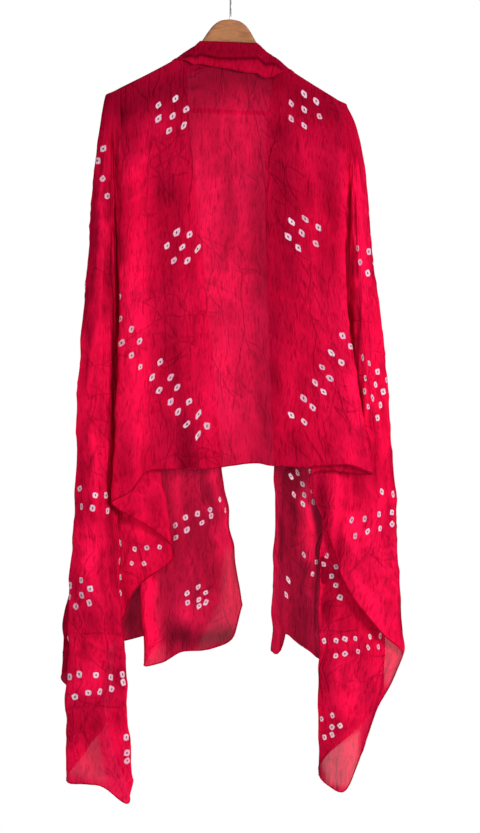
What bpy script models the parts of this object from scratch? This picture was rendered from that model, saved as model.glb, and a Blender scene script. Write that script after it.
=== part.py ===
"""A bandhani stole hung over a wooden clothes hanger, as a shawl hangs over shoulders.

Metres, +Z up. The origin is where the hook bears on its rail. X runs along the hanger, +X to the viewer's
right, and the near panel of the cloth faces -Y. The cloth is one sheet. It is worked out as a row of columns,
from the left tail's inner edge, round the left shoulder, across the near panel and round the right shoulder to
the right tail's inner edge. Each column starts on the hanger's top line and runs down to the hem.
"""

import bmesh
import bpy
import numpy as np
from math import cos, exp, pi, radians, sin

MM = 0.001

# Wooden body, in mm. Drops are measured below the hook's bearing point.
HEAD_DROP = 60.0
WOOD_THICK = 14.0
WOOD_ROUND = 6.0
HANG_TILT = 2.6
OUTLINE_STEPS = 3
ROUNDING_STEPS = 3
# Half of the outline from the head's top, out to the arm's end and back underneath: (out, down).
WOOD_TOP = ((0, 0), (17, 3), (29, 11.5), (39, 25), (48, 39.5), (58, 51), (77, 65), (116, 90), (160, 115), (197, 136))
WOOD_END = ((208, 144), (213, 153), (212, 163), (206, 171), (197, 175))
WOOD_UNDER = ((180, 169), (150, 146), (110, 121), (70, 99), (30, 84), (0, 80))

BAR_RADIUS = 4.0
BAR_DOWN = 162.0
BAR_HALF = 181.0
BAR_SIDES = 20
SOCKET_DEPTH = 12.0
CUTTER_SIDES = 24
FIT_GAP = 0.3
# Edges turned by more degrees than these are drawn sharp, or rounded.
SHARP_ANGLE = 50
ROUNDED_ANGLE = 60

WIRE_RADIUS = 1.6
HOOK_RADIUS = 20.0
HOOK_SEAT = 16.0
# The loop's turn in degrees, from where it meets the shank to the tip, and its points.
HOOK_FOOT_TURN = -30.0
HOOK_TIP_TURN = 215.0
HOOK_STEPS = 16
# The shank stands straight this far above the wood, then leans out: (y, height above the loop's bottom).
SHANK_STRAIGHT = 8.0
SHANK_LEAN = (4.0, -3.0)
WIRE_STEPS = 2

# Cloth, in mm.
CLOTH_THICK = 1.0
SEAT_GAP = 0.5
SLOPE_REACH = 3.0
ROWS = 21
# The first rows of points, as lengths down from the top line, and how the others crowd towards it.
TOP_ROWS = (4.2, 8.5, 15.0)
ROW_CROWDING = 1.25
PATH_STEPS = 24
# Points nearer than this are joined, and faces thinner than this are taken away.
JOIN_WITHIN = 0.02
THINNEST = 0.01
# The arch over the arm: (across, down) from the top line, clear of the wood's rounded edges.
ARCH = ((4.0, 0.1), (8.0, 1.6), (10.0, 7.0))
# The collar's top line in front of the head: (x, drop) at its two ends.
COLLAR_LINE = ((-55, 100.3), (48, 103.8))
COLLAR_Y = -13.0
COLLAR_ROLL = 2.5
# The cloth's long edge crosses the arms at +-NECK. From NECK_IN to NECK the top line goes from the collar,
# in front of the head, to the middle of the arm.
NECK = 79
NECK_IN = 54

# Heights at which a column's place is given, as drops.
LEVELS = (250, 550, 850, 1000, 1150)

# One row for each fold: name, x on the top line, swing round the arm's end in degrees, x at each level,
# y at each level, and the hem's (x, y, drop). A column that ends early has fewer levels.
LEFT_TAIL = (
    ("inner edge", -79, 0, (-73, -42, -14, 5), (12, 13, 13, 13), (22, 13, 1088)),
    ("inner corner", -92, 0, (-85, -60, -32, -12), (12, 14, 16, 17), (2, 17, 1147)),
    ("inner hollow", -108, 0, (-102, -80, -54, -42, -33), (12, 16, 20, 22, 22), (-33, 22, 1167)),
    ("middle ridge", -145, 0, (-141, -125, -106, -94, -82), (12, 15, 13, 12, 12), (-81, 12, 1168)),
    ("outer hollow", -176, 0, (-174, -158, -143, -135, -124), (13, 18, 20, 20, 18), (-121, 18, 1190)),
    ("outer ridge", -192, 0, (-193, -181, -172, -165, -154), (12, 15, 14, 12, 10), (-153, 10, 1193)),
)
LEFT_BACK = (
    ("deep fold", -196.5, 0, (-197, -168, -146, -138), (13, 29, 36, 37), (-132, 36, 1140)),
    ("back bulge", -201, 0, (-206, -246, -263, -274, -296), (12, 22, 26, 27, 27), (-298, 26, 1211)),
    ("back pleat", -205.5, 10, (-214, -222, -218, -216, -216), (11, 14, 13, 12, 10), (-220, 8, 1282)),
    ("back side", -209.3, 45, (-223, -248, -262, -266, -272), (8, 8, 7, 7, 6), (-253, 5, 1338)),
)
LEFT_SIDE = (("left side", -210, 90, (-229, -256, -268, -277, -284), (0, -2, -4, -5, -6), (-288, -8, 1393)),)
LEFT_FRONT = (
    ("column ridge", -209.3, -45, (-221, -233, -242, -242, -236), (-10, -30, -34, -36, -32), (-228, -28, 1396)),
    ("column edge", -205.5, -10, (-211, -214, -213, -205, -191), (-13, -10, -9, -18, -18), (-178, -12, 1430)),
    ("column lining", -203, 0, (-207, -205, -204, -199, -196), (-12, -2, 1, -3, -3), (-213, 0, 1292)),
    ("valley", -201, 0, (-204, -194, -193, -184), (-10.5, 6, 12, 12), (-176, 10, 1076)),
    ("pleat apex", -196.5, 0, (-197, -159, -120), (-11.5, -5, -4), (-97, -4, 990)),
    ("panel fold", -192, 0, (-191, -192, -202), (-13.5, -18, -21), (-206, -22, 905)),
    ("panel ridge", -176, 0, (-175, -172), (-14, -24), (-171, -31, 885)),
    ("panel left", -145, 0, (-145, -143), (-14, -19), (-143, -22, 853)),
    ("panel", -108, 0, (-107, -104), (-14, -17), (-104, -19, 846)),
    ("panel", -92, 0, (-90, -88), (-13, -15.5), (-86, -18, 845)),
    ("panel neck", -79, 0, (-77, -74), (-13, -15), (-71, -18, 844)),
)
MIDDLE = (
    ("collar shoulder", -66, 0, (-65, -63), (-12.5, -15), (-62, -17, 844)),
    ("collar end", -53, 0, (-53, -53), (-12.5, -15), (-53, -16, 844)),
    ("collar", -27, 0, (-27, -27), (-12, -14), (-27, -15, 845)),
    ("collar", 0, 0, (0, 0), (-12, -13.5), (0, -14, 841)),
    ("collar", 27, 0, (27, 26), (-12, -14), (25, -15, 836)),
    ("collar end", 53, 0, (53, 52), (-12.5, -14.5), (52, -16, 834)),
    ("collar shoulder", 66, 0, (66, 64), (-12.5, -15), (65, -16, 838)),
)
RIGHT_FRONT = (
    ("panel neck", 79, 0, (78, 76), (-13, -15), (78, -16, 841)),
    ("panel", 92, 0, (91, 90), (-13, -15.5), (94, -16, 841)),
    ("panel", 106, 0, (106, 108), (-13, -16), (118, -17, 840)),
    ("panel right", 140, 0, (141, 146), (-14, -18), (165, -20, 839)),
    ("panel ridge", 168, 0, (174, 182), (-15, -22), (214, -26, 842)),
    ("panel fold", 178, 0, (199, 202), (-15, -17), (246, -20, 852)),
    ("pleat apex", 182.5, 0, (200, 172), (-12.5, -8), (141, -7, 856)),
    ("valley", 186.5, 0, (203, 208, 192), (-10.5, 2, 2), (178, 2, 973)),
    ("column ridge", 190.5, -10, (208, 224, 236), (-10.5, -18, -15), (209, -10, 1058)),
    ("column flank", 194.3, -45, (214, 238, 262, 268), (-8, -14, -14, -12), (263, -10, 1128)),
)
RIGHT_SIDE = (("right side", 195, 90, (221, 258, 283, 293, 304), (0, -2, -2, 0, 0), (300, 0, 1170)),)
RIGHT_BACK = (
    ("lower side", 194.3, 45, (215, 246, 268, 276, 286), (8, 8, 8, 7, 4), (255, 3, 1274)),
    ("corner", 190.5, 10, (209, 216, 214, 208, 206), (11, 7, 5, 3, -2), (193, -4, 1409)),
    ("lower fold", 186.5, 0, (204, 186, 164, 157, 155), (12.5, 12, 12, 12, 10), (153, 8, 1380)),
    ("backing fold", 182.5, 0, (200, 236, 258, 266, 270), (15, 20, 20, 20, 20), (270, 18, 1233)),
)
RIGHT_TAIL = (
    ("outer fold", 178, 0, (190, 180, 164, 156, 148), (18, 26, 26, 22, 18), (150, 18, 1177)),
    ("rib", 168, 0, (170, 158, 146, 140, 136), (14, 17, 13, 9, 9), (136, 9, 1163)),
    ("hollow", 140, 0, (138, 130, 122, 118), (12, 18, 20, 20), (116, 20, 1149)),
    ("middle ridge", 106, 0, (104, 104, 100, 97), (12, 14, 13, 12), (95, 12, 1140)),
    ("inner corner", 92, 0, (88, 88, 88, 84), (12, 15, 17, 18), (83, 18, 1172)),
    ("inner edge", 79, 0, (64, 66, 80, 79), (12, 13, 13, 13), (72, 13, 1167)),
)
COLUMNS = (
    LEFT_TAIL + LEFT_BACK + LEFT_SIDE + LEFT_FRONT + MIDDLE
    + RIGHT_FRONT + RIGHT_SIDE + RIGHT_BACK + RIGHT_TAIL
)  # fmt: skip
# How many strips each gap between columns is cut into. A wing runs from the neck out to the arm's end. The left
# one in front has one more column, and runs inwards.
WING_STEPS = (1, 1, 2, 2, 2, 2, 3, 3, 2, 2)
LEFT_FRONT_STEPS = (2, 2, 2, 2, 3, 2, 2, 2, 2, 1, 1)
MIDDLE_STEPS = (2, 2, 1, 1, 1, 1, 2, 2)
LEFT_STEPS = (*WING_STEPS, *LEFT_FRONT_STEPS)
GAP_STEPS = (*LEFT_STEPS, *MIDDLE_STEPS, *WING_STEPS, *WING_STEPS[::-1])

# The collar's turned-out flap: x and its length down the front. It hangs FLAP_AHEAD in front of the panel.
LEFT_FLAP = ((-79, 0), (-72.5, 8), (-66, 17), (-59, 30), (-53, 38), (-27, 44))
RIGHT_FLAP = ((27, 52), (53, 50), (59, 38), (66, 20), (72.5, 9), (79, 0))
FLAP = (*LEFT_FLAP, (0, 48), *RIGHT_FLAP)
FLAP_AHEAD = 5.5
FLAP_ROOT = 7.0
FLAP_CROWDING = 1.3
FLAP_ROWS = 4


def smooth_curve(keys, fractions):
    """Centripetal curve through keys along axis 0, read at fractions of every gap. Returns (gaps, reads, ...)."""
    keys = np.asarray(keys, float)
    gaps = np.sqrt(np.linalg.norm(np.diff(keys, axis=0), axis=-1, keepdims=True)) + 1e-6
    slopes = np.diff(keys, axis=0) / gaps
    inner = (slopes[1:] * gaps[:-1] + slopes[:-1] * gaps[1:]) / (gaps[:-1] + gaps[1:])
    tangents = np.concatenate([slopes[:1], inner, slopes[-1:]])
    reads = []
    for f in fractions:
        reads.append(
            (2 * f**3 - 3 * f**2 + 1) * keys[:-1]
            + (f**3 - 2 * f**2 + f) * gaps * tangents[:-1]
            + (3 * f**2 - 2 * f**3) * keys[1:]
            + (f**3 - f**2) * gaps * tangents[1:]
        )
    return np.stack(reads, axis=1)


def smooth_path(keys, steps):
    """Points of the curve through keys, steps to a gap, with the last key."""
    reads = smooth_curve(keys, [i / steps for i in range(steps)])
    return np.concatenate([reads.reshape(-1, reads.shape[-1]), np.asarray(keys[-1:], float)])


def smooth_step(value):
    value = min(max(value, 0.0), 1.0)
    return value * value * (3 - 2 * value)


def tilted(out, down):
    """A point of the hanging wood as (x, drop), from its place on the level wood."""
    turn = radians(HANG_TILT)
    return out * cos(turn) - down * sin(turn), HEAD_DROP + out * sin(turn) + down * cos(turn)


def wood_outline():
    """The wood's outline, level, clockwise from the head's top: (out, down)."""
    half = smooth_path(WOOD_TOP + WOOD_END + WOOD_UNDER, OUTLINE_STEPS)
    other = [(-out, down) for out, down in half[1:-1][::-1]]
    return [tuple(point) for point in half] + other


def wood_top_line():
    """The wood's top edge as it hangs, from the left arm's end to the right one's: (x, drop)."""
    half = smooth_path(WOOD_TOP + WOOD_END[:1], OUTLINE_STEPS)
    line = [tilted(-out, down) for out, down in half[::-1]] + [tilted(out, down) for out, down in half[1:]]
    return np.array(line)


TOP_LINE = wood_top_line()


def top_point(x):
    """The cloth's top line at x: over the arms, and in front of the head between them."""
    before, arm, after = np.interp([x - SLOPE_REACH, x, x + SLOPE_REACH], TOP_LINE[:, 0], TOP_LINE[:, 1])
    slope = (after - before) / (2 * SLOPE_REACH)
    arm -= (SEAT_GAP + CLOTH_THICK / 2) * np.hypot(1, slope)
    (x0, drop0), (x1, drop1) = COLLAR_LINE
    collar = drop0 + (x - x0) / (x1 - x0) * (drop1 - drop0)
    before_head = smooth_step((NECK - abs(x)) / (NECK - NECK_IN))
    return np.array([x, COLLAR_Y * before_head, max(arm, collar)])


def near_depth(x, down):
    """The near panel's depth (y) just below the top line, down from it."""
    reach = 1 - smooth_step((NECK - abs(x)) / (NECK - NECK_IN))
    arch = np.interp(down, [0] + [row[1] for row in ARCH], [0] + [row[0] for row in ARCH])
    return -reach * arch + (1 - reach) * (COLLAR_Y + COLLAR_ROLL * smooth_step(down / ARCH[-1][1]))


def column_curve(column):
    """One column as points (x, y, drop), row by row."""
    x, swing, xs, ys, hem = column[1:]
    top = top_point(x)
    side = 1 if ys[0] > 0 else -1
    if abs(swing) == 90:
        across = np.array([np.sign(x), 0.0, 0.0])
    else:
        turn = radians(abs(swing))
        across = np.array([np.sign(x) * sin(turn), side * cos(turn), 0.0])
    reach = 1 - smooth_step((NECK - abs(x)) / (NECK - NECK_IN))
    keys = [top]
    for out, down in ARCH:
        point = top + reach * out * across + [0, 0, down]
        if reach < 1:
            point[1] = near_depth(x, down)
        keys.append(point)
    keys += [np.array([a, b, drop]) for a, b, drop in zip(xs, ys, LEVELS)]
    keys.append(np.array(hem, float))
    path = smooth_path(keys, PATH_STEPS)
    lengths = np.concatenate([[0], np.cumsum(np.linalg.norm(np.diff(path, axis=0), axis=1))])
    rest = np.arange(1, ROWS - len(TOP_ROWS) + 1) / (ROWS - len(TOP_ROWS))
    wanted = [0, *TOP_ROWS, *(TOP_ROWS[-1] + rest**ROW_CROWDING * (lengths[-1] - TOP_ROWS[-1]))]
    return np.stack([np.interp(wanted, lengths, path[:, k]) for k in range(3)], axis=1)


def cloth_grid():
    """The whole sheet as columns of points (x, y, drop), and each column's x on the top line."""
    keys = np.stack([column_curve(column) for column in COLUMNS])
    starts = [column[1] for column in COLUMNS]
    grid, tops = [], []
    for gap, steps in enumerate(GAP_STEPS):
        reads = smooth_curve(keys, [i / steps for i in range(steps)])[gap]
        for i in range(steps):
            x = starts[gap] + (starts[gap + 1] - starts[gap]) * i / steps
            reads[i][0] = top_point(x)
            grid.append(reads[i])
            tops.append(x)
    grid.append(keys[-1])
    tops.append(starts[-1])
    return np.array(grid), tops


def to_world(point):
    return point[0] * MM, point[1] * MM, -point[2] * MM


def flap_point(column, length):
    """A point of the turned-out flap: length down the panel's column, and out in front of it."""
    if length == 0:
        return column[0]
    spans = np.concatenate([[0], np.cumsum(np.linalg.norm(np.diff(column, axis=0), axis=1))])
    before, place, after = (
        np.array([np.interp(at, spans, column[:, k]) for k in range(3)]) for at in (length - 1, length, length + 1)
    )
    along = (after - before) / np.linalg.norm(after - before)
    ahead = FLAP_AHEAD * (1 - exp(-length / FLAP_ROOT))
    return place + ahead * np.array([0, -along[2], along[1]])


def make_cloth(material):
    grid, tops = cloth_grid()
    bm = bmesh.new()
    columns = [[bm.verts.new(to_world(point)) for point in column] for column in grid]
    for a, b in zip(columns, columns[1:]):
        for row in range(ROWS):
            bm.faces.new((a[row], b[row], b[row + 1], a[row + 1]))
    first_neck = sum(LEFT_STEPS)
    last_neck = first_neck + sum(MIDDLE_STEPS)
    flap = []
    for index in range(first_neck, last_neck + 1):
        full = np.interp(tops[index], [row[0] for row in FLAP], [row[1] for row in FLAP])
        lengths = [full * (row / FLAP_ROWS) ** FLAP_CROWDING for row in range(FLAP_ROWS + 1)]
        flap.append([bm.verts.new(to_world(flap_point(grid[index], length))) for length in lengths])
    for a, b in zip(flap, flap[1:]):
        for row in range(FLAP_ROWS):
            bm.faces.new((b[row], a[row], a[row + 1], b[row + 1]))
    bmesh.ops.remove_doubles(bm, verts=bm.verts, dist=JOIN_WITHIN * MM)
    bmesh.ops.dissolve_degenerate(bm, edges=bm.edges, dist=THINNEST * MM)
    cloth = finish_mesh("cloth", bm, material)
    solid = cloth.modifiers.new("Thickness", "SOLIDIFY")
    solid.thickness = CLOTH_THICK * MM
    solid.offset = 0
    return cloth


def finish_mesh(name, bm, material):
    mesh = bpy.data.meshes.new(name)
    bm.to_mesh(mesh)
    bm.free()
    mesh.shade_smooth()
    obj = bpy.data.objects.new(name, mesh)
    obj.data.materials.append(material)
    bpy.context.collection.objects.link(obj)
    return obj


def make_cutter(name, radius, length, place, turn, parent=None):
    bpy.ops.mesh.primitive_cylinder_add(vertices=CUTTER_SIDES, radius=radius * MM, depth=length * MM)
    cutter = bpy.context.object
    cutter.name = name
    cutter.parent = parent
    cutter.location = [value * MM for value in place]
    cutter.rotation_euler = turn
    cutter.hide_render = True
    cutter.display_type = "WIRE"
    return cutter


def make_hanger(material, tilt):
    """The wooden body, cut from one board, with sockets for the bar and a hole for the hook."""
    bm = bmesh.new()
    half = WOOD_THICK / 2 * MM
    face = bm.faces.new([bm.verts.new((out * MM, -half, -down * MM)) for out, down in wood_outline()])
    pushed = bmesh.ops.extrude_face_region(bm, geom=[face])
    moved = [part for part in pushed["geom"] if isinstance(part, bmesh.types.BMVert)]
    bmesh.ops.translate(bm, verts=moved, vec=(0, 2 * half, 0))
    bmesh.ops.recalc_face_normals(bm, faces=bm.faces)
    hanger = finish_mesh("hanger", bm, material)
    hanger.parent = tilt
    hanger.data.set_sharp_from_angle(angle=radians(SHARP_ANGLE))
    bevel = hanger.modifiers.new("Rounded edge", "BEVEL")
    bevel.width = WOOD_ROUND * MM
    bevel.segments = ROUNDING_STEPS
    bevel.limit_method = "ANGLE"
    bevel.angle_limit = radians(ROUNDED_ANGLE)
    sideways = (0, pi / 2, 0)
    inner = BAR_HALF - SOCKET_DEPTH / 2 + FIT_GAP
    cutters = [make_cutter("hook_hole", WIRE_RADIUS + FIT_GAP, 2 * (HOOK_SEAT + FIT_GAP), (0, 0, -HEAD_DROP), (0, 0, 0))]
    for side in (-1, 1):
        place = (side * (inner - SOCKET_DEPTH), 0, -BAR_DOWN)
        cutters.append(
            make_cutter("bar_socket", BAR_RADIUS + FIT_GAP, 3 * SOCKET_DEPTH, place, sideways, tilt)
        )
    for cutter in cutters:
        cut = hanger.modifiers.new(cutter.name, "BOOLEAN")
        cut.operation = "DIFFERENCE"
        cut.object = cutter
    return hanger


def make_bar(material, tilt):
    bpy.ops.mesh.primitive_cylinder_add(vertices=BAR_SIDES, radius=BAR_RADIUS * MM, depth=2 * BAR_HALF * MM)
    bar = bpy.context.object
    bar.name = "trouser_bar"
    bar.data.materials.append(material)
    bar.data.shade_smooth()
    bar.data.set_sharp_from_angle(angle=radians(SHARP_ANGLE))
    bar.parent = tilt
    bar.location = (0, 0, -BAR_DOWN * MM)
    bar.rotation_euler = (0, pi / 2, 0)
    return bar


def make_hook(material):
    """A wire hook in the YZ plane. Its inner top touches the origin, straight above the stem."""
    reach = HOOK_RADIUS + WIRE_RADIUS
    loop = []
    for step in range(HOOK_STEPS + 1):
        turn = radians(HOOK_FOOT_TURN + (HOOK_TIP_TURN - HOOK_FOOT_TURN) * step / HOOK_STEPS)
        loop.append((0, reach * cos(turn), -HOOK_RADIUS + reach * sin(turn)))
    stem = [(0, 0, down) for down in (-HEAD_DROP - HOOK_SEAT, -HEAD_DROP, -HEAD_DROP + SHANK_STRAIGHT)]
    bend = [(0, SHANK_LEAN[0], -HOOK_RADIUS - reach - SHANK_LEAN[1])]
    points = smooth_path(np.array(stem + bend + loop, float), WIRE_STEPS)
    curve = bpy.data.curves.new("hook", "CURVE")
    curve.dimensions = "3D"
    curve.bevel_depth = WIRE_RADIUS * MM
    curve.bevel_resolution = WIRE_STEPS
    curve.use_fill_caps = True
    spline = curve.splines.new("POLY")
    spline.points.add(len(points) - 1)
    for target, point in zip(spline.points, points):
        target.co = (*[value * MM for value in point], 1)
    curve.materials.append(material)
    hook = bpy.data.objects.new("hook", curve)
    bpy.context.collection.objects.link(hook)
    return hook


def make_material(name, colour, roughness, metallic):
    material = bpy.data.materials.new(name)
    material.use_nodes = True
    shader = material.node_tree.nodes["Principled BSDF"]
    shader.inputs["Base Color"].default_value = (*colour, 1)
    shader.inputs["Roughness"].default_value = roughness
    shader.inputs["Metallic"].default_value = metallic
    return material


def main():
    for obj in list(bpy.data.objects):
        bpy.data.objects.remove(obj)
    tilt = bpy.data.objects.new("hanging_tilt", None)
    tilt.location = (0, 0, -HEAD_DROP * MM)
    tilt.rotation_euler = (0, radians(HANG_TILT), 0)
    bpy.context.collection.objects.link(tilt)
    wood = make_material("wood", (0.50, 0.24, 0.10), 0.5, 0.0)
    steel = make_material("steel", (0.62, 0.62, 0.62), 0.3, 1.0)
    red = make_material("red_cotton", (0.62, 0.002, 0.03), 0.85, 0.0)
    make_hanger(wood, tilt)
    make_bar(wood, tilt)
    make_hook(steel)
    make_cloth(red)


main()
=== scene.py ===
# %% [markdown]
# # A bandhani stole on a wooden hanger
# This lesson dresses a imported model: one crinkled, tie-dyed cloth that hangs over a wooden clothes hanger.
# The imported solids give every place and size, and the lesson adds what makes them look real: crepe, dots
# and dye.

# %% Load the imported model
from math import cos, exp, pi, radians, sin

import bmesh
import bpy
import numpy as np
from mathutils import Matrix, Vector


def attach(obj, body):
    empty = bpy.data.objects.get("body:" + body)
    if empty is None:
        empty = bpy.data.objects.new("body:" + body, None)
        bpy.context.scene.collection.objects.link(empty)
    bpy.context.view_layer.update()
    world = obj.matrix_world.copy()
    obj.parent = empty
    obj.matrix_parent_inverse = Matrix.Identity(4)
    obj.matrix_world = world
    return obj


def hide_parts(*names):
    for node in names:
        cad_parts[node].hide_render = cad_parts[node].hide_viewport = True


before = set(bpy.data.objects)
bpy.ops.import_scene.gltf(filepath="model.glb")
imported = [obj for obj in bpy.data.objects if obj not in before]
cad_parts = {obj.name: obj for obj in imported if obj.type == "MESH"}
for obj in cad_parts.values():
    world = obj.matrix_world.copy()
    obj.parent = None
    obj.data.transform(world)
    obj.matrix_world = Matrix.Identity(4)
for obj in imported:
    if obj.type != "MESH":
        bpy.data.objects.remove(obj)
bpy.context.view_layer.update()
MM = 0.001

# %% [markdown]
# ## The camera
# The photograph looks straight at the cloth from a few metres away. Its frame is 833 units high, and one
# unit is 1.75 mm at the hanger, so the lens follows from the distance. A long lens keeps the two sides
# parallel.

# %% Place the camera
UNIT = 0.00175
FRAME_HEIGHT = 833 * UNIT
CAMERA_AWAY = 3.0
LOOK_AT = Vector((0.0166, 0.0, -0.755))
SENSOR = 36.0

camera_data = bpy.data.cameras.new("camera")
camera_data.sensor_width = SENSOR
camera_data.lens = SENSOR * CAMERA_AWAY / FRAME_HEIGHT
camera = bpy.data.objects.new("camera", camera_data)
bpy.context.scene.collection.objects.link(camera)
camera.location = LOOK_AT + Vector((0, -CAMERA_AWAY, 0))
camera.rotation_euler = (radians(90), 0, 0)
bpy.context.scene.camera = camera
bpy.context.scene.view_settings.view_transform = "Standard"
print("lens", round(camera_data.lens, 1), "mm")

# %% [markdown]
# ## How a fold is written down
# The cloth is described by columns: lines that start on the hanger's top edge and run down the cloth to its
# hem. Each column's row says where it passes at a few heights, and the sheet is a smooth surface through
# them all. The sizes are in millimetres, and a drop is a distance below the hook. The rows run from the
# left tail's inner edge, round the left shoulder, across the near panel and round the right shoulder to the
# right tail.

# %% Sizes of the hanger under the cloth
HEAD_DROP = 60.0
HANG_TILT = 2.6
WOOD_TOP = (
    (0, 0), (17, 3), (29, 11.5), (39, 25), (48, 39.5), (58, 51), (77, 65), (116, 90), (160, 115), (197, 136),
)
WOOD_END = (208, 144)
SEAT_GAP = 0.5
CLOTH_THICK = 1.0
SLOPE_REACH = 3.0
ARCH = ((4.0, 0.1), (8.0, 1.6), (10.0, 7.0))
COLLAR_LINE = ((-55, 100.3), (48, 103.8))
COLLAR_Y = -13.0
COLLAR_ROLL = 2.5
NECK = 79
NECK_IN = 54
LEVELS = (250, 550, 850, 1000, 1150)

# %% Columns of the left side: name, x on the top line, swing, x and y at each level, hem
LEFT_TAIL = (
    ("inner edge", -79, 0, (-73, -42, -14, 5), (12, 13, 13, 13), (22, 13, 1088)),
    ("inner corner", -92, 0, (-85, -60, -32, -12), (12, 14, 16, 17), (2, 17, 1147)),
    ("inner hollow", -108, 0, (-102, -80, -54, -42, -33), (12, 16, 20, 22, 22), (-33, 22, 1167)),
    ("middle ridge", -145, 0, (-141, -125, -106, -94, -82), (12, 15, 13, 12, 12), (-81, 12, 1168)),
    ("outer hollow", -176, 0, (-174, -158, -143, -135, -124), (13, 18, 20, 20, 18), (-121, 18, 1190)),
    ("outer ridge", -192, 0, (-193, -181, -172, -165, -154), (12, 15, 14, 12, 10), (-153, 10, 1193)),
)
LEFT_BACK = (
    ("deep fold", -196.5, 0, (-197, -168, -146, -138), (13, 29, 36, 37), (-132, 36, 1140)),
    ("back bulge", -201, 0, (-206, -246, -263, -274, -296), (12, 22, 26, 27, 27), (-298, 26, 1211)),
    ("back pleat", -205.5, 10, (-214, -222, -218, -216, -216), (11, 14, 13, 12, 10), (-220, 8, 1282)),
    ("back side", -209.3, 45, (-223, -248, -262, -266, -272), (8, 8, 7, 7, 6), (-253, 5, 1338)),
)
LEFT_SIDE = (("left side", -210, 90, (-229, -256, -268, -277, -284), (0, -2, -4, -5, -6), (-288, -8, 1393)),)
LEFT_FRONT = (
    ("column ridge", -209.3, -45, (-221, -233, -242, -242, -236), (-10, -30, -34, -36, -32), (-228, -28, 1396)),
    ("column edge", -205.5, -10, (-211, -214, -213, -205, -191), (-13, -10, -9, -18, -18), (-178, -12, 1430)),
    ("column lining", -203, 0, (-207, -205, -204, -199, -196), (-12, -2, 1, -3, -3), (-213, 0, 1292)),
    ("valley", -201, 0, (-204, -194, -193, -184), (-10.5, 6, 12, 12), (-176, 10, 1076)),
    ("pleat apex", -196.5, 0, (-197, -159, -120), (-11.5, -5, -4), (-97, -4, 990)),
    ("panel fold", -192, 0, (-191, -192, -202), (-13.5, -18, -21), (-206, -22, 905)),
    ("panel ridge", -176, 0, (-175, -172), (-14, -24), (-171, -31, 885)),
    ("panel left", -145, 0, (-145, -143), (-14, -19), (-143, -22, 853)),
    ("panel", -108, 0, (-107, -104), (-14, -17), (-104, -19, 846)),
    ("panel", -92, 0, (-90, -88), (-13, -15.5), (-86, -18, 845)),
    ("panel neck", -79, 0, (-77, -74), (-13, -15), (-71, -18, 844)),
)

# %% Columns of the middle and the right side
MIDDLE = (
    ("collar shoulder", -66, 0, (-65, -63), (-12.5, -15), (-62, -17, 844)),
    ("collar end", -53, 0, (-53, -53), (-12.5, -15), (-53, -16, 844)),
    ("collar", -27, 0, (-27, -27), (-12, -14), (-27, -15, 845)),
    ("collar", 0, 0, (0, 0), (-12, -13.5), (0, -14, 841)),
    ("collar", 27, 0, (27, 26), (-12, -14), (25, -15, 836)),
    ("collar end", 53, 0, (53, 52), (-12.5, -14.5), (52, -16, 834)),
    ("collar shoulder", 66, 0, (66, 64), (-12.5, -15), (65, -16, 838)),
)
RIGHT_FRONT = (
    ("panel neck", 79, 0, (78, 76), (-13, -15), (78, -16, 841)),
    ("panel", 92, 0, (91, 90), (-13, -15.5), (94, -16, 841)),
    ("panel", 106, 0, (106, 108), (-13, -16), (118, -17, 840)),
    ("panel right", 140, 0, (141, 146), (-14, -18), (165, -20, 839)),
    ("panel ridge", 168, 0, (174, 182), (-15, -22), (214, -26, 842)),
    ("panel fold", 178, 0, (199, 202), (-15, -17), (246, -20, 852)),
    ("pleat apex", 182.5, 0, (200, 172), (-12.5, -8), (141, -7, 856)),
    ("valley", 186.5, 0, (203, 208, 192), (-10.5, 2, 2), (178, 2, 973)),
    ("column ridge", 190.5, -10, (208, 224, 236), (-10.5, -18, -15), (209, -10, 1058)),
    ("column flank", 194.3, -45, (214, 238, 262, 268), (-8, -14, -14, -12), (263, -10, 1128)),
)
RIGHT_SIDE = (("right side", 195, 90, (221, 258, 283, 293, 304), (0, -2, -2, 0, 0), (300, 0, 1170)),)
RIGHT_BACK = (
    ("lower side", 194.3, 45, (215, 246, 268, 276, 286), (8, 8, 8, 7, 4), (255, 3, 1274)),
    ("corner", 190.5, 10, (209, 216, 214, 208, 206), (11, 7, 5, 3, -2), (193, -4, 1409)),
    ("lower fold", 186.5, 0, (204, 186, 164, 157, 155), (12.5, 12, 12, 12, 10), (153, 8, 1380)),
    ("backing fold", 182.5, 0, (200, 236, 258, 266, 270), (15, 20, 20, 20, 20), (270, 18, 1233)),
)
RIGHT_TAIL = (
    ("outer fold", 178, 0, (190, 180, 164, 156, 148), (18, 26, 26, 22, 18), (150, 18, 1177)),
    ("rib", 168, 0, (170, 158, 146, 140, 136), (14, 17, 13, 9, 9), (136, 9, 1163)),
    ("hollow", 140, 0, (138, 130, 122, 118), (12, 18, 20, 20), (116, 20, 1149)),
    ("middle ridge", 106, 0, (104, 104, 100, 97), (12, 14, 13, 12), (95, 12, 1140)),
    ("inner corner", 92, 0, (88, 88, 88, 84), (12, 15, 17, 18), (83, 18, 1172)),
    ("inner edge", 79, 0, (64, 66, 80, 79), (12, 13, 13, 13), (72, 13, 1167)),
)
COLUMNS = LEFT_TAIL + LEFT_BACK + LEFT_SIDE + LEFT_FRONT + MIDDLE
COLUMNS += RIGHT_FRONT + RIGHT_SIDE + RIGHT_BACK + RIGHT_TAIL
print(len(COLUMNS), "columns describe the cloth")

# %% [markdown]
# ## From columns to a sheet
# A smooth curve is run down through each column's points, and then smooth curves are run across the
# columns, row by row. Near the arms every column first arches over the wood, so the cloth rests on it and
# never cuts it.

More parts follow.
